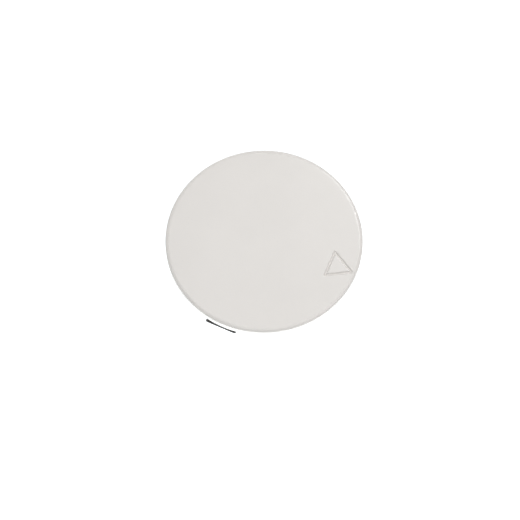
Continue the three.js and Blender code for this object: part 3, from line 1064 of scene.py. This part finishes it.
def glass_bulb(look):
    """Thin glass ampoule: rounded top, pip at the bottom, and a bore that holds the liquid."""
    radius, inner = BULB_HIGH.x, 0.95
    low, high = BULB_LOW.z, BULB_HIGH.z
    stem = 0.14
    outside = [(stem, low), (0.34, low), (0.42, low + 0.12), (0.45, low + 0.45)]
    outside += arc(0.35, low + 1.75, radius - 0.35, 1.15, -80, 0, 10)
    outside += arc(0.25, high - 1.2, radius - 0.25, 1.2, 0, 90, 10)[:-1] + [(0, high)]
    inside = [(0, high - 0.8)] + arc(0, high - 1.75, inner, 0.95, 90, 0, 8)[1:]
    inside += arc(stem, low + 2.2, inner - stem, 1.1, 0, -90, 8)
    return turned_piece("glass_bulb", outside + inside, look, "head", 64, crease=SOFT_CREASE)


def bulb_liquid(look):
    """The liquid, with a rounded foot and a bubble's hollow at its top."""
    low, high = span("bulb_liquid")
    radius = high.x + 0.04
    profile = [(0, low.z)] + arc(0.1, low.z + 1.1, radius - 0.1, 1.1, -90, 0, 8)
    profile += [(radius, high.z), (radius - 0.12, high.z - 0.2), (0.4, high.z - 0.42), (0, high.z - 0.45)]
    return turned_piece("bulb_liquid", profile, look, "head", 48, crease=SOFT_CREASE)


def seat_button(look):
    """Button with a plug below its flange and a dimpled hub for the bulb's pip."""
    flange_z, hub_z = 25.4, 26.4
    profile = [
        (0, BUTTON_LOW.z), (4.7, BUTTON_LOW.z), (5.2, BUTTON_LOW.z + 0.5), (5.2, flange_z),
        (BUTTON_HIGH.x, flange_z), (BUTTON_HIGH.x, hub_z, 0.35), (3.2, hub_z, 0.5), (2.1, hub_z + 0.5, 0.4),
        (2.1, BUTTON_HIGH.z), (1.75, BUTTON_HIGH.z), (0.75, BULB_LOW.z - 0.25), (0, BULB_LOW.z - 0.3),
    ]
    return turned_piece("seat_button", softened(profile, 0.12), look, "head", 80)


def sealing_washer(look):
    """Coned disc spring between the button's flange and the seat."""
    low, high = span("sealing_washer")
    thickness = 0.35
    profile = [
        (5.4, high.z - thickness), (high.x - 0.1, low.z), (high.x, low.z + thickness), (5.5, high.z),
    ]
    return turned_piece("sealing_washer", softened(profile, 0.1), look, "head", 80)


def ejection_spring(look):
    """Wire bow hooked round both arms, pressing on the button's hub."""
    low, high = span("ejection_spring")
    radius = (high.z - low.z) / 2
    z = (low.z + high.z) / 2
    hook_x = high.x - radius
    front_y = high.y - radius
    knots = [(hook_x, -1.5), (hook_x, 0.2), (hook_x, 1.6), (hook_x - 0.25, front_y - 0.25)]
    knots += [(hook_x - 1.6, front_y), (ARM_X - 2.6, front_y), (3.2, front_y - 0.55), (0, 2.8)]
    knots += [(-x, y) for x, y in reversed(knots[:-1])]
    route = spline(knots, 8)
    end_taper = 0.7
    loops = []
    for i, point in enumerate(route):
        side = normal_of(route, i)
        size = radius * (end_taper if i in (0, len(route) - 1) else 1)
        loop = []
        for angle in even_angles(16):
            spot = point + side * size * math.cos(angle)
            loop.append((spot.x, spot.y, z + size * math.sin(angle)))
        loops.append(loop)
    bm = bmesh.new()
    loft(bm, loops)
    return piece("ejection_spring", bm, look, "head")


def spline(knots, steps):
    """Points along a Catmull-Rom curve through the knots."""
    points = [Vector(k) for k in knots]
    padded = [points[0]] + points + [points[-1]]
    curve = []
    for i in range(1, len(padded) - 2):
        a, b, c, d = padded[i - 1:i + 3]
        for k in range(steps):
            t = k / steps
            curve.append(0.5 * (2 * b + (c - a) * t + (2 * a - 5 * b + 4 * c - d) * t ** 2
                                + (3 * b - 3 * c + d - a) * t ** 3))
    return curve + [points[-1]]


# --- Deflector and guide pins ---

def slotted_disc():
    """Outline of the deflector: a circle with round-ended slots, long and short in turn."""
    radius = DISC_HIGH.x
    half, long_slot, short_slot = 1.1, 8.6, 10.6
    lap = math.degrees(math.asin(half / radius))
    outline = []
    for i in range(12):
        angle = 15 + 30 * i
        inner = short_slot if i % 2 else long_slot
        outline += arc(0, 0, radius, radius, angle - 30 + lap, angle - lap, 10)
        outline += turned_by(arc(inner + half, 0, half, half, 270, 90, 10), angle)
    return outline


def deflector(look):
    """Slotted disc with a hole for each pin's rivet."""
    rivet_hole = 1.1
    holes = [circle(side * PIN_X, 0, rivet_hole, 24)[::-1] for side in (1, -1)]
    bm = bmesh.new()
    plate(bm, slotted_disc(), holes, DISC_LOW.z, DISC_HIGH.z, 0.22)
    return piece("deflector", bm, look, "drop_deflector")


def guide_pins(look):
    """Two pins with a stop head below, a shoulder under the disc and a riveted end on top."""
    head = PIN_HIGH.x - PIN_X
    under, over = DISC_LOW.z, DISC_HIGH.z
    shaft_top = BAR_HIGH.z
    profile = softened([
        (0, PIN_LOW.z), (head, PIN_LOW.z, 0.3), (head, PIN_LOW.z + 1.2, 0.2), (PIN_R, PIN_LOW.z + 1.4, 0.1),
        (PIN_R, shaft_top), (head, shaft_top, 0.25), (head, under, 0.2), (0.95, under), (0.95, over),
        (1.9, over, 0.1), (1.85, over + 0.45, 0.4), (0.9, PIN_HIGH.z, 0.5), (0, PIN_HIGH.z),
    ], 0.1, 4)
    turned_piece("guide_pin_1", profile, look, "drop_deflector", 48, PIN_X)
    turned_piece("guide_pin_2", profile, look, "drop_deflector", 48, -PIN_X)


# --- Camera, floor and light ---

POOL_CENTRE = (35, -120, 0)  # painted pool of light: the floor glows brighter round here, and that glow lifts the plate's rim
POOL_RADIUS = 190
POOL_GLOW = 2.0
CONTACT_INNER = 8  # painted contact shadow: the glow fades right under the thread, where real light would be shaded
CONTACT_OUTER = 17

CAMERA_ELEVATION = 67.26  # degrees above the horizon, in front of the object
CAMERA_DISTANCE = 0.6
CAMERA_LENS = 101.3
CAMERA_SHIFT = (-0.0079, -0.0389)
CAMERA_AIM = FACE_Z - 1.4


def aimed(name, data, target, away, distance):
    """A camera or lamp at a distance from a target, facing it."""
    obj = add_object(name, data)
    obj.location = target + away * distance
    obj.rotation_euler = away.to_track_quat("Z", "Y").to_euler()
    return obj


def camera():
    """A long lens that looks at the cover's face from the front and above."""
    data = bpy.data.cameras.new("camera")
    data.sensor_width = 36
    data.lens = CAMERA_LENS
    data.shift_x, data.shift_y = CAMERA_SHIFT
    elevation = math.radians(CAMERA_ELEVATION)
    away = Vector((0, -math.cos(elevation), math.sin(elevation)))
    target = Vector((0, 0, CAMERA_AIM)) * MM
    bpy.context.scene.camera = aimed("camera", data, target, away, CAMERA_DISTANCE)


def floor():
    """A pale floor that glows and dims far away, with a painted pool of light in front and a painted contact
    shadow right under the thread.
    """
    look = Look("pale_floor")
    look.feed(look.shader.inputs["Emission Color"], (0.95, 0.985, 1, 1))
    from_pool = look.vector("LENGTH", look.vector("SUBTRACT", look.place, POOL_CENTRE))
    # painted pool of light: the floor's glow is raised round POOL_CENTRE
    pool = look.between(from_pool, POOL_GLOW, 0, 20, POOL_RADIUS)
    from_middle = look.vector("LENGTH", look.place)
    glow = look.math("ADD", look.between(from_middle, 0.95, 0.6, 180, 700), pool)
    # painted contact shadow: the floor's glow drops to 0.3 of itself close under the thread
    painted_contact_shadow = look.between(from_middle, 0.3, 1, CONTACT_INNER, CONTACT_OUTER)
    look.feed(look.shader.inputs["Emission Strength"], look.math("MULTIPLY", glow, painted_contact_shadow))
    tone = look.noise(0.01)
    look.colour(look.mix(tone, linear(138, 138, 138), linear(144, 144, 144)))
    look.roughness(look.between(tone, 0.7, 0.8))
    bm = bmesh.new()
    bmesh.ops.create_grid(bm, x_segments=8, y_segments=8, size=6000)
    obj = solid("floor", bm)
    obj.data.materials.append(look.material)


def lamp(name, azimuth, elevation, distance, size, power):
    """A soft square lamp that faces the cover. Azimuth is counter-clockwise from +X."""
    data = bpy.data.lights.new(name, "AREA")
    data.size = size
    data.energy = power
    azimuth = math.radians(azimuth)
    elevation = math.radians(elevation)
    level = math.cos(elevation)
    away = Vector((level * math.cos(azimuth), level * math.sin(azimuth), math.sin(elevation)))
    aimed(name, data, Vector((0, 0, FACE_Z * MM)), away, distance)


def surroundings():
    """A dim room, pale above and in front, with a glow near the horizon that is brightest on the left."""
    world = bpy.data.worlds.new("studio")
    bpy.context.scene.world = world
    world.use_nodes = True
    sky = Nodes(world.node_tree)
    place = sky.node("ShaderNodeTexCoord").outputs["Generated"]
    axes = sky.node("ShaderNodeSeparateXYZ", {0: place}).outputs
    near_horizon = sky.between(axes["Z"], 0.6, 0, 0.05, 0.35)
    glow = sky.math("MULTIPLY", near_horizon, sky.between(axes["X"], 1, 0, -0.8, 0.2))
    overhead = sky.between(axes["Z"], 0.22, 0.3, 0.5, 0.95)
    pale = sky.math("ADD", overhead, sky.between(axes["Y"], 0.2, 0, -0.9, -0.1))
    background = sky.tree.nodes["Background"].inputs
    sky.feed(background["Strength"], sky.math("ADD", glow, pale))
    sky.feed(background["Color"], (0.94, 0.98, 1, 1))


# --- Everything together ---

def build():
    """Makes every piece with its material."""
    brass = rolled_brass()
    cast = cast_brass()
    spring = drawn_steel("spring_steel", linear(150, 152, 158), linear(116, 118, 124))
    cover_plate(painted_cover())
    solder_pads(dull_solder())
    retainer(brass)
    standoff_ears(phosphated_steel())
    support_cup(zinc_plate())
    lock_ring(spring)
    sprinkler_body(cast)
    guide_pin_housing(cast)
    load_screw(brass)
    glass_bulb(clear_glass())
    bulb_liquid(red_liquid())
    seat_button(brass)
    sealing_washer(drawn_steel("washer_nickel", linear(190, 190, 186), linear(166, 166, 162)))
    ejection_spring(spring)
    deflector(stamped_bronze())
    guide_pins(drawn_steel("pin_steel", linear(196, 198, 202), linear(176, 178, 182), PIN_X))


camera()
floor()
surroundings()
lamp("overhead", 20, 80, 0.9, 0.9, 4.3)
lamp("window", 62, 54, 0.9, 0.26, 1.9)
bpy.context.scene.view_settings.view_transform = "Standard"
build()
